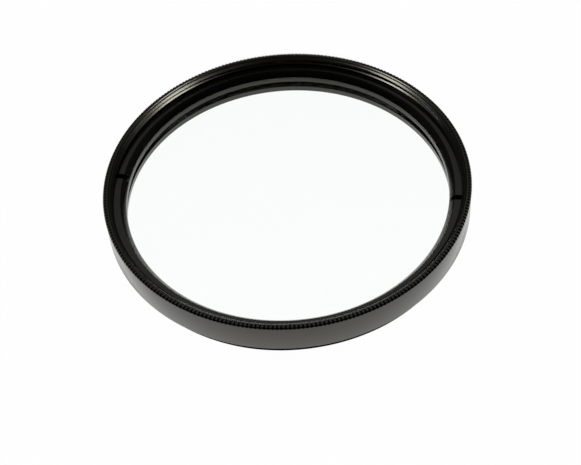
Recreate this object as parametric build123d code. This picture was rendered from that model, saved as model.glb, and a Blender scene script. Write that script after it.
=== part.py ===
# Screw-in lens filter for a 52 mm filter thread: a turned and anodised aluminium ring,
# a clear glass disc seated on the ring's lip, and a slotted ring that clamps the glass.
# Millimetres. +Z points out of the front of the filter, away from the lens.
# The origin is on the axis, at the end of the male thread, where the filter rests.

from build123d import *
from math import cos, pi, radians, sin, sqrt
import os

# Mount thread, metric fine, male at the back and female at the front
THREAD_MAJOR_DIAMETER = 52.0
THREAD_PITCH = 0.75
MALE_THREAD_LENGTH = 1.85
MALE_THREAD_CHAMFER = 0.3

# Body of the filter ring, from the male thread's shoulder to the front face
BODY_HEIGHT = 4.7
SHOULDER_WIDTH = 0.9
BAND_EDGE_CHAMFER = 0.12

# Knurled bead round the front face, a little proud of the band
KNURL_STAND_OUT = 0.1
KNURL_HEIGHT = 0.35
KNURL_PITCH = 0.593
KNURL_DEPTH = 0.42
KNURL_CREST_SHARE = 0.3

# Front recess, from the front face down to the slotted ring
FRONT_THREAD_DEPTH = 1.4

# Slotted ring that screws down on the glass
CLAMP_RING_HEIGHT = 1.75
CLAMP_RING_CLEARANCE = 0.05
CLAMP_RING_RUN_OUT = 0.15
CLAMP_RING_WALL = 2.2
CLAMP_RING_FACE_WIDTH = 1.38
CLAMP_RING_STRAIGHT_BORE = 0.6
CLAMP_RING_EDGE_CHAMFER = 0.1
SLOT_COUNT = 2
SLOT_WIDTH = 0.9
SLOT_DEPTH = 0.75

# Glass and the seat and lip that hold it
GLASS_THICKNESS = 2.4
GLASS_BEVEL = 0.2
GLASS_SEAT_CLEARANCE = 0.1
SEAT_STEP = 0.494
LIP_WIDTH = 1.15
LIP_EDGE_CHAMFER = 0.1

# Radii that follow, from the thread outwards and then inwards
thread_major_radius = THREAD_MAJOR_DIAMETER / 2
thread_triangle = THREAD_PITCH * sqrt(3) / 2
thread_minor_radius = thread_major_radius - 5 / 8 * thread_triangle
band_radius = thread_major_radius + SHOULDER_WIDTH
knurl_radius = band_radius + KNURL_STAND_OUT
knurl_root_radius = knurl_radius - KNURL_DEPTH
knurl_teeth = round(2 * pi * knurl_radius / KNURL_PITCH)
bead_seam_radius = (thread_major_radius + knurl_root_radius) / 2
glass_seat_radius = thread_minor_radius - SEAT_STEP
glass_radius = glass_seat_radius - GLASS_SEAT_CLEARANCE
lip_radius = glass_seat_radius - LIP_WIDTH
clamp_ring_outer_radius = thread_major_radius - CLAMP_RING_CLEARANCE
clamp_ring_inner_radius = clamp_ring_outer_radius - CLAMP_RING_WALL
clamp_ring_face_radius = clamp_ring_outer_radius - CLAMP_RING_FACE_WIDTH

# Heights that follow
shoulder_z = MALE_THREAD_LENGTH
front_z = shoulder_z + BODY_HEIGHT
knurl_base_z = front_z - KNURL_HEIGHT
clamp_ring_top_z = front_z - FRONT_THREAD_DEPTH
glass_top_z = clamp_ring_top_z - CLAMP_RING_HEIGHT
clamp_thread_end_z = glass_top_z - CLAMP_RING_RUN_OUT
lip_top_z = glass_top_z - GLASS_THICKNESS


def turned(section):
    """A solid of revolution about Z from a closed (radius, height) outline."""
    with BuildPart() as part:
        with BuildSketch(Plane.XZ):
            with BuildLine():
                Polyline(*section, close=True)
            make_face()
        revolve(axis=Axis.Z)
    return part.part


def ring_section():
    """The filter ring's turned section, inside the knurled bead. The front thread is drawn at its
    crests where it is open, and at its roots where the clamp ring's thread fills it. It runs out
    below the top of the glass, so that the clamp ring bears on the glass and not on the ring."""
    lead_in_depth = thread_major_radius - thread_minor_radius
    return [
        (lip_radius, LIP_EDGE_CHAMFER),
        (lip_radius + LIP_EDGE_CHAMFER, 0),
        (thread_major_radius - MALE_THREAD_CHAMFER, 0),
        (thread_major_radius, MALE_THREAD_CHAMFER),
        (thread_major_radius, shoulder_z),
        (band_radius - BAND_EDGE_CHAMFER, shoulder_z),
        (band_radius, shoulder_z + BAND_EDGE_CHAMFER),
        (band_radius, knurl_base_z),
        (bead_seam_radius, knurl_base_z),
        (bead_seam_radius, front_z),
        (thread_major_radius, front_z),
        (thread_minor_radius, front_z - lead_in_depth),
        (thread_minor_radius, clamp_ring_top_z),
        (thread_major_radius, clamp_ring_top_z),
        (thread_major_radius, clamp_thread_end_z),
        (glass_seat_radius, clamp_thread_end_z),
        (glass_seat_radius, lip_top_z),
        (lip_radius, lip_top_z),
    ]


def knurl_outline():
    """Points round the knurl: each tooth has a flat crest, and a V groove parts it from the next."""
    pitch_angle = 2 * pi / knurl_teeth
    half_crest = pitch_angle * KNURL_CREST_SHARE / 2
    points = []
    for tooth in range(knurl_teeth):
        middle = tooth * pitch_angle
        for radius, angle in (
            (knurl_radius, middle - half_crest),
            (knurl_radius, middle + half_crest),
            (knurl_root_radius, middle + pitch_angle / 2),
        ):
            points.append((radius * cos(angle), radius * sin(angle)))
    return points


def knurled_bead():
    """The toothed rim round the front face, outside the turned section."""
    with BuildPart() as bead:
        with BuildSketch(Plane.XY.offset(knurl_base_z)):
            with BuildLine():
                Polyline(*knurl_outline(), close=True)
            make_face()
            Circle(bead_seam_radius, mode=Mode.SUBTRACT)
        extrude(amount=KNURL_HEIGHT)
    return bead.part


def filter_ring():
    """One turned piece: male thread, plain band, knurled bead, female thread, glass seat and lip."""
    return turned(ring_section()) + knurled_bead()


def glass_disc():
    """A flat clear disc with its edges bevelled, lying on the lip."""
    return turned(
        [
            (0, lip_top_z),
            (glass_radius - GLASS_BEVEL, lip_top_z),
            (glass_radius, lip_top_z + GLASS_BEVEL),
            (glass_radius, glass_top_z - GLASS_BEVEL),
            (glass_radius - GLASS_BEVEL, glass_top_z),
            (0, glass_top_z),
        ]
    )


def retaining_ring():
    """The clamp ring: flat face, funnel-shaped mouth, short straight bore and two driving slots."""
    mouth_z = glass_top_z + CLAMP_RING_STRAIGHT_BORE
    ring = turned(
        [
            (clamp_ring_inner_radius, glass_top_z),
            (clamp_ring_outer_radius - CLAMP_RING_EDGE_CHAMFER, glass_top_z),
            (clamp_ring_outer_radius, glass_top_z + CLAMP_RING_EDGE_CHAMFER),
            (clamp_ring_outer_radius, clamp_ring_top_z - CLAMP_RING_EDGE_CHAMFER),
            (clamp_ring_outer_radius - CLAMP_RING_EDGE_CHAMFER, clamp_ring_top_z),
            (clamp_ring_face_radius, clamp_ring_top_z),
            (clamp_ring_inner_radius, mouth_z),
        ]
    )
    slot_middle_radius = clamp_ring_inner_radius + CLAMP_RING_WALL / 2
    slot_tool = Box(2 * CLAMP_RING_WALL, SLOT_WIDTH, 2 * SLOT_DEPTH)
    for number in range(SLOT_COUNT):
        angle = 360 / SLOT_COUNT * number
        place = Pos(
            slot_middle_radius * cos(radians(angle)),
            slot_middle_radius * sin(radians(angle)),
            clamp_ring_top_z,
        )
        ring -= place * Rot(0, 0, angle) * slot_tool
    return ring


os.makedirs("parts", exist_ok=True)
export_step(filter_ring(), "parts/filter_ring.step")
export_step(glass_disc(), "parts/glass.step")
export_step(retaining_ring(), "parts/retaining_ring.step")
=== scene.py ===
from math import cos, pi, radians, sin

import bmesh
import bpy
from mathutils import Matrix, Vector


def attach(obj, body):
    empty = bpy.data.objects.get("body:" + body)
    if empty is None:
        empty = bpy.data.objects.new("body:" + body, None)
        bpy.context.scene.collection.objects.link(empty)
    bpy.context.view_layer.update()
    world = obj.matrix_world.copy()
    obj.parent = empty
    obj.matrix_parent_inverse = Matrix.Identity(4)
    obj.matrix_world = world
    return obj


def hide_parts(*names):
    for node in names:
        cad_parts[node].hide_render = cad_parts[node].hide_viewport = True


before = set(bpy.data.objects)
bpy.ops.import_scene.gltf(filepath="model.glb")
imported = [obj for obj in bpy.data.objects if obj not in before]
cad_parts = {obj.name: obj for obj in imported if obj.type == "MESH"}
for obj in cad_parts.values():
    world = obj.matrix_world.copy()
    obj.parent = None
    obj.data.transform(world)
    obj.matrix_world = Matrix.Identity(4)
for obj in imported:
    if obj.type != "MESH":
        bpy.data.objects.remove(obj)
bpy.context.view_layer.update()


# Filter ring
# Turned from aluminium bar in one piece, with a male thread behind, a female thread in front, a plain
# band, and a rim whose outer edge a knurling wheel has notched. Then it is anodised black.
mm = 0.001

# Both threads: the flank's height as a share of the pitch, and the hair that parts touching faces
PITCH = 0.75 * mm
THREAD_MAJOR = 26.0 * mm
THREAD_MINOR = 25.594 * mm
THREAD_DEPTH = THREAD_MAJOR - THREAD_MINOR
FLANK_SHARE = 5 / 16
HAIR = 0.01 * mm

# Outside, from the back to the front
SHOULDER_Z = 1.85 * mm
MALE_CHAMFER = 0.3 * mm
MALE_CHAMFER_SLOPE = 1.35
RELIEF_HEIGHT = 0.3 * mm
RELIEF_RADIUS = 25.55 * mm
BAND_RADIUS = 26.9 * mm
BAND_BEVEL = 0.12 * mm
RIM_RADIUS = 26.95 * mm
RIM_BASE_Z = 6.2 * mm
FRONT_Z = 6.55 * mm
TEETH = 286
TOOTH_CREST_SHARE = 0.5
GROOVE_ROOT_SHARE = 0.38

# Inside, from the front to the back
LEAD_IN_RADIUS = 26.25 * mm
LEAD_IN_DEPTH = 0.175 * mm
FIRST_TURN_RADIUS = THREAD_MAJOR - 0.02 * mm
FIRST_TURN_SLOPE = 1.75
CLAMP_TOP_Z = 5.15 * mm
GLASS_TOP_Z = 3.4 * mm
THREAD_RUN_OUT = 0.15 * mm
GLASS_SEAT_RADIUS = 25.1 * mm
LIP_TOP_Z = 1.0 * mm
LIP_RADIUS = 23.95 * mm
LIP_TAPER = 0.06 * mm
LIP_BEVEL = 0.04 * mm
LIP_BACK_RADIUS = LIP_RADIUS + 0.09 * mm


def add_node(tree, kind, sources=None, **settings):
    """Adds one node, sets it up, and links its inputs or fills them with values."""
    node = tree.nodes.new(kind)
    for name, value in settings.items():
        setattr(node, name, value)
    for name, source in (sources or {}).items():
        if isinstance(source, bpy.types.Node):
            source = source.outputs[0]
        if isinstance(source, bpy.types.NodeSocket):
            tree.links.new(source, node.inputs[name])
        else:
            node.inputs[name].default_value = source
    return node


def hex_colour(code):
    """An sRGB hex code as a linear colour with alpha."""
    values = [int(code[i : i + 2], 16) / 255 for i in (1, 3, 5)]
    return [v / 12.92 if v <= 0.04045 else ((v + 0.055) / 1.055) ** 2.4 for v in values] + [1]


# Gloss black anodised aluminium: a clear oxide layer over a dyed one, so it shines as a hard clear coat
# does and not as bare metal, a little warm in tone. The lathe's feed lines, drawn about 0.1 mm apart,
# soften what it mirrors, and the dye took slightly unevenly.
def black_anodised_aluminium():
    feed_spacing = 0.1 * mm
    feed_height = 0.004 * mm
    dye_patch = 3 * mm
    material = bpy.data.materials.new("black_anodised_aluminium")
    material.use_nodes = True
    tree = material.node_tree
    shader = tree.nodes["Principled BSDF"]
    shader.inputs["Metallic"].default_value = 0
    shader.inputs["IOR"].default_value = 1.6
    shader.inputs["Specular Tint"].default_value = hex_colour("#FFFCE9")
    place = add_node(tree, "ShaderNodeTexCoord")
    axes = add_node(tree, "ShaderNodeSeparateXYZ", {0: place.outputs["Object"]})
    flat = add_node(tree, "ShaderNodeCombineXYZ", {0: axes.outputs[0], 1: axes.outputs[1]})
    radius = add_node(tree, "ShaderNodeVectorMath", {0: flat}, operation="LENGTH")
    track = add_node(tree, "ShaderNodeCombineXYZ", {0: radius.outputs["Value"], 1: axes.outputs[2]})
    feed = add_node(
        tree, "ShaderNodeTexNoise", {"Vector": track, "Scale": 1 / feed_spacing, "Detail": 2.0}
    )
    dye = add_node(
        tree,
        "ShaderNodeTexNoise",
        {"Vector": place.outputs["Object"], "Scale": 1 / dye_patch, "Detail": 4.0},
    )
    shade = add_node(
        tree,
        "ShaderNodeMix",
        {"Factor": dye.outputs["Fac"], "A": hex_colour("#050505"), "B": hex_colour("#0A0A09")},
        data_type="RGBA",
    )
    tree.links.new(shade.outputs["Result"], shader.inputs["Base Color"])
    gloss = add_node(
        tree,
        "ShaderNodeMapRange",
        {"Value": feed.outputs["Fac"], "From Min": 0.3, "From Max": 0.7, "To Min": 0.14, "To Max": 0.22},
    )
    tree.links.new(gloss.outputs["Result"], shader.inputs["Roughness"])
    bump = add_node(
        tree, "ShaderNodeBump", {"Height": feed.outputs["Fac"], "Strength": 0.15, "Distance": feed_height}
    )
    tree.links.new(bump.outputs["Normal"], shader.inputs["Normal"])
    return material


anodised = black_anodised_aluminium()

# What each point of a section takes part in: the notches cut it in by groove and down by sink; thread is
# 1 on a male thread, -1 on a female one and 0 elsewhere, and the others are that thread's own sizes
ROW_KEYS = ("groove", "sink", "thread", "start", "crest", "flat", "low", "high", "cone", "slope")


def section_object(name, rows):
    """A section as loose points: place in the XZ plane, and what each point takes part in."""
    mesh = bpy.data.meshes.new(name)
    mesh.from_pydata([(row["r"], 0, row["z"]) for row in rows], [], [])
    for key in ROW_KEYS:
        values = mesh.attributes.new(key, "FLOAT", "POINT")
        values.data.foreach_set("value", [row.get(key, 0) for row in rows])
    shown = bpy.data.objects.new(name, mesh)
    bpy.context.scene.collection.objects.link(shown)
    return shown


def plain(r, z, groove=0, sink=0):
    """A section point that is turned round the axis."""
    return {"r": r, "z": z, "groove": groove, "sink": sink}


def thread_rows(turns, flank_steps, **zone):
    """Section points that ride along a thread, at its corners and on its flanks. In the zone, start is
    the height of a crest on the X axis, flat is half of a crest's width, low and high are the heights
    where the thread ends, and cone is a chamfer's radius at height 0, which changes by slope."""
    flat = zone["flat"]
    flank = FLANK_SHARE * PITCH
    down = [flat + flank * step / flank_steps for step in range(flank_steps + 1)]
    steps = down + [PITCH - step for step in reversed(down)]
    rows = []
    for turn in range(turns):
        for step in steps:
            rows.append({"r": zone["crest"], "z": zone["start"] + turn * PITCH + step, **zone})
    return rows


male_thread = thread_rows(
    turns=5,
    flank_steps=2,
    thread=1,
    start=-1.5 * PITCH,
    crest=THREAD_MAJOR,
    flat=PITCH / 16,
    low=0,
    high=SHOULDER_Z - RELIEF_HEIGHT,
    cone=THREAD_MAJOR - MALE_CHAMFER,
    slope=MALE_CHAMFER_SLOPE,
)

# The front thread begins at the place round the ring that puts its turns on the far wall at their height
female_thread = thread_rows(
    turns=5,
    flank_steps=3,
    thread=-1,
    start=FRONT_Z - 3.72 * PITCH,
    crest=THREAD_MINOR,
    flat=PITCH / 8,
    low=CLAMP_TOP_Z + HAIR,
    high=FRONT_Z - LEAD_IN_DEPTH,
    cone=FIRST_TURN_RADIUS - FIRST_TURN_SLOPE * (FRONT_Z - LEAD_IN_DEPTH),
    slope=FIRST_TURN_SLOPE,
)
ring_rows = [
    # End face and male thread, with the relief groove behind the shoulder
    plain(LIP_BACK_RADIUS, 0),
    *male_thread,
    plain(RELIEF_RADIUS, SHOULDER_Z - RELIEF_HEIGHT),
    plain(RELIEF_RADIUS, SHOULDER_Z),
    # Plain band, with a rounded edge at the shoulder
    plain(BAND_RADIUS - BAND_BEVEL, SHOULDER_Z),
    plain(BAND_RADIUS - 0.03 * mm, SHOULDER_Z + 0.03 * mm),
    plain(BAND_RADIUS, SHOULDER_Z + BAND_BEVEL),
    plain(BAND_RADIUS, RIM_BASE_Z - 0.1 * mm),
    # Rim, a little proud of the band, whose notches are cut from its outer edge in over the front face
    plain(RIM_RADIUS, RIM_BASE_Z - 0.03 * mm),
    plain(RIM_RADIUS, RIM_BASE_Z + 0.06 * mm),
    plain(RIM_RADIUS - 0.02 * mm, RIM_BASE_Z + 0.16 * mm, groove=0.08 * mm, sink=0.19 * mm),
    plain(RIM_RADIUS - 0.14 * mm, FRONT_Z - 0.01 * mm, groove=0.03 * mm, sink=0.31 * mm),
    plain(RIM_RADIUS - 0.15 * mm, FRONT_Z, groove=0.1 * mm, sink=0.25 * mm),
    plain(RIM_RADIUS - 0.4 * mm, FRONT_Z, groove=0.01 * mm, sink=0.12 * mm),
    plain(RIM_RADIUS - 0.55 * mm, FRONT_Z),
    # Lead-in in two facets, 30 and then 45 degrees down, and the front thread
    plain(LEAD_IN_RADIUS, FRONT_Z),
    plain(LEAD_IN_RADIUS - 0.13 * mm, FRONT_Z - 0.075 * mm),
    plain(LEAD_IN_RADIUS - 0.23 * mm, FRONT_Z - LEAD_IN_DEPTH),
    *reversed(female_thread),
    # Wall behind the retaining ring, and the seat round the glass
    plain(THREAD_MAJOR + HAIR, CLAMP_TOP_Z + HAIR),
    plain(THREAD_MAJOR + HAIR, GLASS_TOP_Z - THREAD_RUN_OUT),
    plain(GLASS_SEAT_RADIUS, GLASS_TOP_Z - THREAD_RUN_OUT),
    plain(GLASS_SEAT_RADIUS, LIP_TOP_Z),
    # Lip that stops the glass, a little wider at the back
    plain(LIP_RADIUS + LIP_BEVEL, LIP_TOP_Z),
    plain(LIP_RADIUS, LIP_TOP_Z - LIP_BEVEL),
    plain(LIP_RADIUS + LIP_TAPER, LIP_BEVEL),
    plain(LIP_BACK_RADIUS, 0),
]


def new_tree(name, sockets):
    """A geometry tree with one geometry in, one out, and named inputs for its sizes."""
    tree = bpy.data.node_groups.new(name, "GeometryNodeTree")
    tree.interface.new_socket("Part", in_out="INPUT", socket_type="NodeSocketGeometry")
    for socket_name, kind in sockets.items():
        tree.interface.new_socket(socket_name, in_out="INPUT", socket_type="NodeSocket" + kind)
    tree.interface.new_socket("Part", in_out="OUTPUT", socket_type="NodeSocketGeometry")
    return tree, add_node(tree, "NodeGroupInput").outputs


def turning_tree():
    """Sweeps a section round the axis, four columns to a tooth, and cuts its threads and notches."""
    tree, given = new_tree(
        "turned_threaded_knurled",
        {
            "Teeth": "Int",
            "Crest share": "Float",
            "Root share": "Float",
            "Pitch": "Float",
            "Thread depth": "Float",
            "Finish": "Material",
        },
    )
    section = given["Part"]
    teeth = given["Teeth"]
    pitch = given["Pitch"]

    # One column of the grid is one place round the axis, and one row is one point of the section
    rows = add_node(tree, "GeometryNodeAttributeDomainSize", {0: section}).outputs["Point Count"]
    columns = add_node(tree, "ShaderNodeMath", {0: teeth, 1: 4.0, 2: 1.0}, operation="MULTIPLY_ADD")
    grid = add_node(tree, "GeometryNodeMeshGrid", {"Vertices X": columns, "Vertices Y": rows})
    index = add_node(tree, "GeometryNodeInputIndex")
    share = add_node(tree, "ShaderNodeMath", {0: index, 1: rows}, operation="DIVIDE")
    column = add_node(tree, "ShaderNodeMath", {0: share}, operation="FLOOR")
    row = add_node(tree, "ShaderNodeMath", {0: index, 1: rows}, operation="FLOORED_MODULO")

    # A tooth's first two columns are the sides of its crest, and the other two are the sides of the
    # notch's floor after it
    fourth = add_node(tree, "ShaderNodeMath", {0: column, 1: 4.0}, operation="DIVIDE")
    tooth = add_node(tree, "ShaderNodeMath", {0: fourth}, operation="FLOOR")
    part = add_node(tree, "ShaderNodeMath", {0: column, 1: 4.0}, operation="FLOORED_MODULO")
    in_groove = add_node(tree, "ShaderNodeMath", {0: part, 1: 1.5}, operation="GREATER_THAN")
    second = add_node(tree, "ShaderNodeMath", {0: part, 1: 2.0}, operation="FLOORED_MODULO")
    side = add_node(tree, "ShaderNodeMath", {0: second, 1: 0.5}, operation="SUBTRACT")
    on_crest = add_node(tree, "ShaderNodeMath", {0: side, 1: given["Crest share"]}, operation="MULTIPLY")
    on_root = add_node(
        tree, "ShaderNodeMath", {0: side, 1: given["Root share"], 2: 0.5}, operation="MULTIPLY_ADD"
    )
    step = add_node(
        tree,
        "GeometryNodeSwitch",
        {"Switch": in_groove, "False": on_crest, "True": on_root},
        input_type="FLOAT",
    )
    place = add_node(tree, "ShaderNodeMath", {0: tooth, 1: step}, operation="ADD")
    turn = add_node(tree, "ShaderNodeMath", {0: place, 1: teeth}, operation="DIVIDE")
    angle = add_node(tree, "ShaderNodeMath", {0: turn, 1: 2 * pi}, operation="MULTIPLY")

    of_row = {}
    for key in ROW_KEYS:
        named = add_node(tree, "GeometryNodeInputNamedAttribute", {"Name": key}, data_type="FLOAT")
        of_row[key] = add_node(
            tree, "GeometryNodeSampleIndex", {0: section, 1: named, "Index": row}, data_type="FLOAT"
        )
    spot = add_node(
        tree,
        "GeometryNodeSampleIndex",
        {0: section, 1: add_node(tree, "GeometryNodeInputPosition"), "Index": row},
        data_type="FLOAT_VECTOR",
    )
    drawn = add_node(tree, "ShaderNodeSeparateXYZ", {0: spot}).outputs

    # A thread's rows climb one pitch in a turn and stop at the ends of its stretch
    climbed = add_node(tree, "ShaderNodeMath", {0: turn, 1: pitch, 2: drawn["Z"]}, operation="MULTIPLY_ADD")
    thread_z = add_node(
        tree, "ShaderNodeClamp", {"Value": climbed, "Min": of_row["low"], "Max": of_row["high"]}
    )

    # How far a row lies from the middle of the nearest crest, then how far down the flank that is
    first_crest = add_node(
        tree, "ShaderNodeMath", {0: turn, 1: pitch, 2: of_row["start"]}, operation="MULTIPLY_ADD"
    )
    above = add_node(tree, "ShaderNodeMath", {0: thread_z, 1: first_crest}, operation="SUBTRACT")
    half_pitch = add_node(tree, "ShaderNodeMath", {0: pitch, 1: 0.5}, operation="MULTIPLY")
    from_crest = add_node(tree, "ShaderNodeMath", {0: above, 1: half_pitch}, operation="PINGPONG")
    past_flat = add_node(tree, "ShaderNodeMath", {0: from_crest, 1: of_row["flat"]}, operation="SUBTRACT")
    flank = add_node(tree, "ShaderNodeMath", {0: pitch, 1: FLANK_SHARE}, operation="MULTIPLY")
    down = add_node(
        tree, "ShaderNodeMath", {0: past_flat, 1: flank}, operation="DIVIDE", use_clamp=True
    )
    drop = add_node(tree, "ShaderNodeMath", {0: down, 1: given["Thread depth"]}, operation="MULTIPLY")
    signed_drop = add_node(tree, "ShaderNodeMath", {0: drop, 1: of_row["thread"]}, operation="MULTIPLY")
    thread_r = add_node(tree, "ShaderNodeMath", {0: of_row["crest"], 1: signed_drop}, operation="SUBTRACT")

    # A cone takes the male thread's first turn down, and opens the female thread's first turn
    cone_r = add_node(
        tree,
        "ShaderNodeMath",
        {0: thread_z, 1: of_row["slope"], 2: of_row["cone"]},
        operation="MULTIPLY_ADD",
    )
    outer = add_node(tree, "ShaderNodeMath", {0: thread_r, 1: cone_r}, operation="MINIMUM")
    inner = add_node(tree, "ShaderNodeMath", {0: thread_r, 1: cone_r}, operation="MAXIMUM")
    is_male = add_node(tree, "ShaderNodeMath", {0: of_row["thread"], 1: 0.5}, operation="GREATER_THAN")
    chamfered_r = add_node(
        tree,
        "GeometryNodeSwitch",
        {"Switch": is_male, "False": inner, "True": outer},
        input_type="FLOAT",
    )

    # The other rows keep their place, cut in and down where a notch runs
    cut = add_node(tree, "ShaderNodeMath", {0: of_row["groove"], 1: in_groove}, operation="MULTIPLY")
    turned_r = add_node(tree, "ShaderNodeMath", {0: drawn["X"], 1: cut}, operation="SUBTRACT")
    dip = add_node(tree, "ShaderNodeMath", {0: of_row["sink"], 1: in_groove}, operation="MULTIPLY")
    turned_z = add_node(tree, "ShaderNodeMath", {0: drawn["Z"], 1: dip}, operation="SUBTRACT")
    size = add_node(tree, "ShaderNodeMath", {0: of_row["thread"]}, operation="ABSOLUTE")
    on_thread = add_node(tree, "ShaderNodeMath", {0: size, 1: 0.5}, operation="GREATER_THAN")
    r = add_node(
        tree,
        "GeometryNodeSwitch",
        {"Switch": on_thread, "False": turned_r, "True": chamfered_r},
        input_type="FLOAT",
    )
    z = add_node(
        tree,
        "GeometryNodeSwitch",
        {"Switch": on_thread, "False": turned_z, "True": thread_z},
        input_type="FLOAT",
    )
    cosine = add_node(tree, "ShaderNodeMath", {0: angle}, operation="COSINE")
    sine = add_node(tree, "ShaderNodeMath", {0: angle}, operation="SINE")
    x = add_node(tree, "ShaderNodeMath", {0: r, 1: cosine}, operation="MULTIPLY")
    y = add_node(tree, "ShaderNodeMath", {0: r, 1: sine}, operation="MULTIPLY")
    xyz = add_node(tree, "ShaderNodeCombineXYZ", {0: x, 1: y, 2: z})
    swept = add_node(tree, "GeometryNodeSetPosition", {"Geometry": grid, "Position": xyz})

    # Points that fell together at the seam and at the threads' ends become one
    closed = add_node(tree, "GeometryNodeMergeByDistance", {"Geometry": swept, "Distance": 0.002 * mm})
    real = add_node(tree, "GeometryNodeRealizeInstances", {0: closed})
    finished = add_node(tree, "GeometryNodeSetMaterial", {0: real, "Material": given["Finish"]})
    add_node(tree, "NodeGroupOutput", {0: finished})
    return tree


def give_tree(shown, tree, values):
    """Puts a tree on an object, with its inputs set by their identifiers."""
    modifier = shown.modifiers.new(tree.name, "NODES")
    modifier.node_group = tree
    for item in tree.interface.items_tree:
        if item.in_out == "INPUT" and item.name in values:
            modifier[item.identifier] = values[item.name]


SHARP_FROM = radians(20)


def make_plain(shown):
    """Turns what the trees made into a plain mesh, with flat faces where edges are sharp."""
    bpy.context.view_layer.update()
    made = shown.evaluated_get(bpy.context.evaluated_depsgraph_get())
    mesh = bpy.data.meshes.new_from_object(made)
    mesh.name = shown.name
    shown.modifiers.clear()
    shown.data = mesh
    for key in ROW_KEYS:
        if key in mesh.attributes:
            mesh.attributes.remove(mesh.attributes[key])
    mesh.shade_smooth()
    mesh.set_sharp_from_angle(angle=SHARP_FROM)


turning = turning_tree()
filter_ring = section_object("anodised_filter_ring", ring_rows)
ring_sizes = {
    "Teeth": TEETH,
    "Crest share": TOOTH_CREST_SHARE,
    "Root share": GROOVE_ROOT_SHARE,
    "Pitch": PITCH,
    "Thread depth": THREAD_DEPTH,
    "Finish": anodised,
}
give_tree(filter_ring, turning, ring_sizes)
make_plain(filter_ring)
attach(filter_ring, "root")
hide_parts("filter_ring")


# Retaining ring
# Turned from the same aluminium and anodised with it. It has a thread on its outside, a funnel-shaped
# mouth, and two slots sawn across its face for the tool that screws it down on the glass.
CLAMP_OUTER_RADIUS = 25.95 * mm
CLAMP_BEVEL = 0.1 * mm
CLAMP_FACE_RADIUS = 24.57 * mm
CLAMP_BORE_RADIUS = 23.75 * mm
FUNNEL_END_Z = 4.0 * mm
SLOTS = 2
SLOT_WIDTH = 0.9 * mm
SLOT_DEPTH = 0.75 * mm
SAW_LENGTH = 4.4 * mm

clamp_rows = [
    # Underside on the glass, and the outside in the front thread, where its own thread is hidden
    plain(CLAMP_BORE_RADIUS, GLASS_TOP_Z),
    plain(CLAMP_OUTER_RADIUS - CLAMP_BEVEL, GLASS_TOP_Z),
    plain(CLAMP_OUTER_RADIUS, GLASS_TOP_Z + CLAMP_BEVEL),
    plain(CLAMP_OUTER_RADIUS, CLAMP_TOP_Z - CLAMP_BEVEL),
    plain(CLAMP_OUTER_RADIUS - CLAMP_BEVEL, CLAMP_TOP_Z),
    # Flat face with its edge broken, the funnel, which steepens downwards, and the short bore
    plain(CLAMP_FACE_RADIUS + 0.01 * mm, CLAMP_TOP_Z),
    plain(CLAMP_FACE_RADIUS - 0.01 * mm, CLAMP_TOP_Z - 0.015 * mm),
    plain(CLAMP_BORE_RADIUS + 0.23 * mm, FUNNEL_END_Z + 0.5 * mm),
    plain(CLAMP_BORE_RADIUS + 0.05 * mm, FUNNEL_END_Z + 0.22 * mm),
    plain(CLAMP_BORE_RADIUS, FUNNEL_END_Z - 0.02 * mm),
    plain(CLAMP_BORE_RADIUS, GLASS_TOP_Z),
]

# This ring has no teeth, so its 90 fours of columns are spread evenly
clamp_sizes = {**ring_sizes, "Teeth": 90, "Crest share": 0.25, "Root share": 0.25}


def slotting_tree():
    """Saws slots across a ring's face, evenly round the axis and starting on the X axis."""
    tree, given = new_tree(
        "slotted_face",
        {
            "Slots": "Int",
            "Middle radius": "Float",
            "Face height": "Float",
            "Saw": "Vector",
            "Finish": "Material",
        },
    )
    slots = given["Slots"]
    index = add_node(tree, "GeometryNodeInputIndex")
    share = add_node(tree, "ShaderNodeMath", {0: index, 1: slots}, operation="DIVIDE")
    angle = add_node(tree, "ShaderNodeMath", {0: share, 1: 2 * pi}, operation="MULTIPLY")
    cosine = add_node(tree, "ShaderNodeMath", {0: angle}, operation="COSINE")
    sine = add_node(tree, "ShaderNodeMath", {0: angle}, operation="SINE")
    x = add_node(tree, "ShaderNodeMath", {0: given["Middle radius"], 1: cosine}, operation="MULTIPLY")
    y = add_node(tree, "ShaderNodeMath", {0: given["Middle radius"], 1: sine}, operation="MULTIPLY")
    middle = add_node(tree, "ShaderNodeCombineXYZ", {0: x, 1: y, 2: given["Face height"]})
    middles = add_node(tree, "GeometryNodePoints", {"Count": slots, "Position": middle})
    saw = add_node(tree, "GeometryNodeMeshCube", {"Size": given["Saw"]})
    turned = add_node(tree, "ShaderNodeCombineXYZ", {2: angle})
    cuts = add_node(
        tree, "GeometryNodeInstanceOnPoints", {"Points": middles, "Instance": saw, "Rotation": turned}
    )
    tools = add_node(tree, "GeometryNodeRealizeInstances", {0: cuts})
    sawn = add_node(
        tree, "GeometryNodeMeshBoolean", {"Mesh 1": given["Part"], "Mesh 2": tools}, operation="DIFFERENCE"
    )
    real = add_node(tree, "GeometryNodeRealizeInstances", {0: sawn})
    finished = add_node(tree, "GeometryNodeSetMaterial", {0: real, "Material": given["Finish"]})
    add_node(tree, "NodeGroupOutput", {0: finished})
    return tree


retaining_ring = section_object("anodised_retaining_ring", clamp_rows)
give_tree(retaining_ring, turning, clamp_sizes)
give_tree(
    retaining_ring,
    slotting_tree(),
    {
        "Slots": SLOTS,
        "Middle radius": (CLAMP_OUTER_RADIUS + CLAMP_BORE_RADIUS) / 2,
        "Face height": CLAMP_TOP_Z,
        "Saw": (SAW_LENGTH, SLOT_WIDTH, 2 * SLOT_DEPTH),
        "Finish": anodised,
    },
)
make_plain(retaining_ring)
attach(retaining_ring, "root")
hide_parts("retaining_ring")


# Glass
# A flat disc of clear optical glass, polished on both faces, with its edge ground and bevelled. It
# lies on the ring's lip, and the retaining ring holds it down.
GLASS_RADIUS = 25.0 * mm
GLASS_BEVEL = 0.2 * mm


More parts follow.
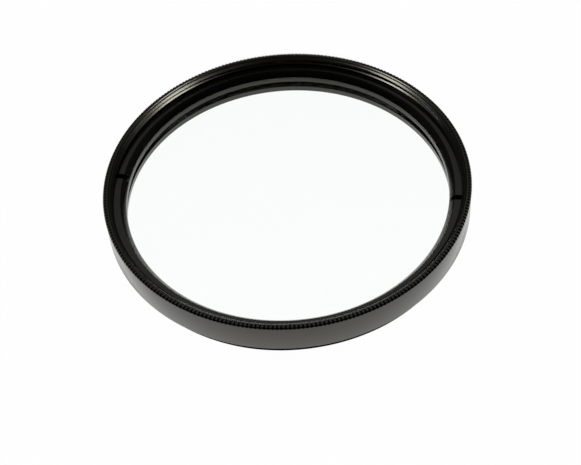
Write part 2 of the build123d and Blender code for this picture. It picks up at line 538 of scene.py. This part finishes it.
# Polished optical glass with a thin coating: it has almost no tint of its own, and it mirrors the room
# far less than bare glass does, so what lies behind it shows nearly unchanged.
def clear_optical_glass():
    material = bpy.data.materials.new("clear_optical_glass")
    material.use_nodes = True
    shader = material.node_tree.nodes["Principled BSDF"]
    shader.inputs["Base Color"].default_value = hex_colour("#FDFFFE")
    shader.inputs["Roughness"].default_value = 0
    shader.inputs["IOR"].default_value = 1.517
    shader.inputs["Specular Tint"].default_value = hex_colour("#505250")
    shader.inputs["Transmission Weight"].default_value = 1
    return material


def glass_disc():
    """The disc, a hair thinner than its seat so that its faces don't lie in the metal's."""
    bottom = LIP_TOP_Z + HAIR
    top = GLASS_TOP_Z - HAIR
    shape = bmesh.new()
    bmesh.ops.create_cone(
        shape,
        cap_ends=True,
        segments=256,
        radius1=GLASS_RADIUS,
        radius2=GLASS_RADIUS,
        depth=top - bottom,
        matrix=Matrix.Translation((0, 0, (top + bottom) / 2)),
    )
    rims = [edge for edge in shape.edges if abs(edge.verts[0].co.z - edge.verts[1].co.z) < GLASS_BEVEL]
    bmesh.ops.bevel(shape, geom=rims, offset=GLASS_BEVEL, segments=2, profile=0.5, affect="EDGES")
    bmesh.ops.recalc_face_normals(shape, faces=shape.faces)
    mesh = bpy.data.meshes.new("glass_disc")
    shape.to_mesh(mesh)
    shape.free()
    mesh.materials.append(clear_optical_glass())
    mesh.shade_smooth()
    mesh.set_sharp_from_angle(angle=SHARP_FROM)
    shown = bpy.data.objects.new("glass_disc", mesh)
    bpy.context.scene.collection.objects.link(shown)
    return shown


glass = glass_disc()
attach(glass, "root")
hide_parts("glass")


# Floor
# A white sweep, wide enough to run past every view. The camera, and what the metal and the glass show,
# see it near white; the rest of it takes the studio light and keeps the filter's soft shadow.
FLOOR_REACH = 3
FLOOR_GLOW = 0.985

# A little below the ring's end face, so that the two don't lie in each other
FLOOR_Z = -0.02 * mm


def white_sweep():
    material = bpy.data.materials.new("white_sweep")
    material.use_nodes = True
    tree = material.node_tree
    shader = tree.nodes["Principled BSDF"]
    shader.inputs["Base Color"].default_value = hex_colour("#F4F4F4")
    shader.inputs["Roughness"].default_value = 0.9
    shader.inputs["Specular IOR Level"].default_value = 0
    rays = add_node(tree, "ShaderNodeLightPath")
    camera_or_glossy = add_node(
        tree,
        "ShaderNodeMath",
        {0: rays.outputs["Is Camera Ray"], 1: rays.outputs["Is Glossy Ray"]},
        operation="MAXIMUM",
    )
    seen = add_node(
        tree,
        "ShaderNodeMath",
        {0: camera_or_glossy, 1: rays.outputs["Is Transmission Ray"]},
        operation="MAXIMUM",
    )
    share = add_node(tree, "ShaderNodeMath", {0: seen, 1: FLOOR_GLOW}, operation="MULTIPLY")
    glow = add_node(tree, "ShaderNodeEmission", {"Strength": 1.0})
    mixed = add_node(tree, "ShaderNodeMixShader", {0: share, 1: shader, 2: glow})
    tree.links.new(mixed.outputs[0], tree.nodes["Material Output"].inputs["Surface"])
    return material


floor_mesh = bpy.data.meshes.new("white_sweep")
floor_corners = [(FLOOR_REACH * x, FLOOR_REACH * y, FLOOR_Z) for x, y in ((-1, -1), (1, -1), (1, 1), (-1, 1))]
floor_mesh.from_pydata(floor_corners, [], [(0, 1, 2, 3)])
floor_mesh.materials.append(white_sweep())
floor = bpy.data.objects.new("white_sweep", floor_mesh)
bpy.context.scene.collection.objects.link(floor)


# Studio light
# A pale room that is darker on the camera's side, and a soft lamp on each side of the table, where the
# flanks of the front thread mirror it into the camera.
scene = bpy.context.scene
scene.view_settings.view_transform = "Standard"
world = bpy.data.worlds.new("pale_studio")
world.use_nodes = True
scene.world = world

# How far round the camera stands, in degrees from the X axis, which runs through one slot
CAMERA_AZIMUTH = -90 + 11.48

# Light by a direction's upward share: the ceiling begins 39 degrees up and is at its full level from 57
CEILING_BEGINS = 0.63
CEILING_FULL = 0.84
CEILING_LEVEL = 0.52
DARK_LEVEL = 0.04

# By a direction's share towards the camera, it falls from full light beyond the filter to near dark
BEYOND = -0.1
THIS_SIDE = 0.25
THIS_SIDE_LEVEL = 0.04

# Through the glass the room is white up to 17 degrees, as the floor that it meets there is
WHITE_BELOW = 0.3


def pale_room(tree):
    """The room by direction: a pale ceiling beyond the filter, and dark low down and on this side."""
    way = add_node(tree, "ShaderNodeTexCoord")
    to_camera = (cos(radians(CAMERA_AZIMUTH)), sin(radians(CAMERA_AZIMUTH)), 0)
    towards = add_node(
        tree, "ShaderNodeVectorMath", {0: way.outputs["Generated"], 1: to_camera}, operation="DOT_PRODUCT"
    )
    height = add_node(tree, "ShaderNodeSeparateXYZ", {0: way.outputs["Generated"]})
    ceiling = add_node(
        tree,
        "ShaderNodeMapRange",
        {
            "Value": height.outputs["Z"],
            "From Min": CEILING_BEGINS,
            "From Max": CEILING_FULL,
            "To Min": DARK_LEVEL,
            "To Max": CEILING_LEVEL,
        },
    )
    beyond = add_node(
        tree,
        "ShaderNodeMapRange",
        {
            "Value": towards.outputs["Value"],
            "From Min": BEYOND,
            "From Max": THIS_SIDE,
            "To Min": 1.0,
            "To Max": THIS_SIDE_LEVEL,
        },
    )
    level = add_node(tree, "ShaderNodeMath", {0: ceiling, 1: beyond}, operation="MULTIPLY")
    rays = add_node(tree, "ShaderNodeLightPath")
    low = add_node(tree, "ShaderNodeMath", {0: height.outputs["Z"], 1: WHITE_BELOW}, operation="LESS_THAN")
    through = add_node(
        tree, "ShaderNodeMath", {0: rays.outputs["Is Transmission Ray"], 1: low}, operation="MULTIPLY"
    )
    seen = add_node(
        tree, "ShaderNodeMath", {0: rays.outputs["Is Camera Ray"], 1: through}, operation="MAXIMUM"
    )
    strength = add_node(
        tree, "ShaderNodeMix", {"Factor": seen, "A": level, "B": 1.0}, data_type="FLOAT"
    )
    tree.links.new(strength.outputs["Result"], tree.nodes["Background"].inputs["Strength"])
    tree.nodes["Background"].inputs["Color"].default_value = (1, 1, 1, 1)


pale_room(world.node_tree)

# In metres and watts
LAMP_DISTANCE = 0.6
LAMP_SIDE = 0.13
LAMP_POWER = 0.7


def soft_lamp(name, azimuth, elevation):
    """A square lamp that is aimed at the filter, placed by degrees round it and up."""
    lamp = bpy.data.lights.new(name, "AREA")
    lamp.shape = "RECTANGLE"
    lamp.size = lamp.size_y = LAMP_SIDE
    lamp.energy = LAMP_POWER
    shown = bpy.data.objects.new(name, lamp)
    way = Vector(
        (
            cos(radians(azimuth)) * cos(radians(elevation)),
            sin(radians(azimuth)) * cos(radians(elevation)),
            sin(radians(elevation)),
        )
    )
    shown.location = LAMP_DISTANCE * way
    shown.rotation_euler = way.to_track_quat("Z", "Y").to_euler()
    scene.collection.objects.link(shown)


soft_lamp("soft_lamp_right", CAMERA_AZIMUTH + 91, 59.5)
soft_lamp("soft_lamp_left", CAMERA_AZIMUTH - 95, 57)


# Camera
# Where the photograph was taken from, found from the ring's edges and its two slots: it looks down at
# the filter's front from 0.22 m away and leans a little to one side.
CAMERA_ELEVATION = radians(49.765)
CAMERA_LEAN = radians(-5.024)

# The middle of the front as the camera sees it: how far to the right, down and ahead
FRONT_RIGHT = -0.6076 * mm
FRONT_DOWN = -7.64 * mm
FRONT_AHEAD = 224.175 * mm

# The lens in pixels of the photograph's width, and the film width in Blender's own millimetres
LENS_PIXELS = 1534.75
PHOTO_WIDTH = 581
FILM_WIDTH = 36

across = Vector((1, 0, 0))
upward = Vector((0, sin(CAMERA_ELEVATION), cos(CAMERA_ELEVATION)))
ahead = Vector((0, cos(CAMERA_ELEVATION), -sin(CAMERA_ELEVATION)))
camera_right = cos(CAMERA_LEAN) * across + sin(CAMERA_LEAN) * upward
camera_up = cos(CAMERA_LEAN) * upward - sin(CAMERA_LEAN) * across
camera_spot = Vector((0, 0, FRONT_Z))
camera_spot -= FRONT_RIGHT * camera_right - FRONT_DOWN * camera_up + FRONT_AHEAD * ahead
stand = Matrix((camera_right, camera_up, -ahead)).transposed().to_4x4()
stand.translation = camera_spot

camera_data = bpy.data.cameras.new("camera")
camera_data.sensor_width = FILM_WIDTH
camera_data.lens = FILM_WIDTH * LENS_PIXELS / PHOTO_WIDTH
camera_data.clip_start = 0.01
camera = bpy.data.objects.new("camera", camera_data)
camera.matrix_world = Matrix.Rotation(radians(CAMERA_AZIMUTH + 90), 4, "Z") @ stand
scene.collection.objects.link(camera)
scene.camera = camera
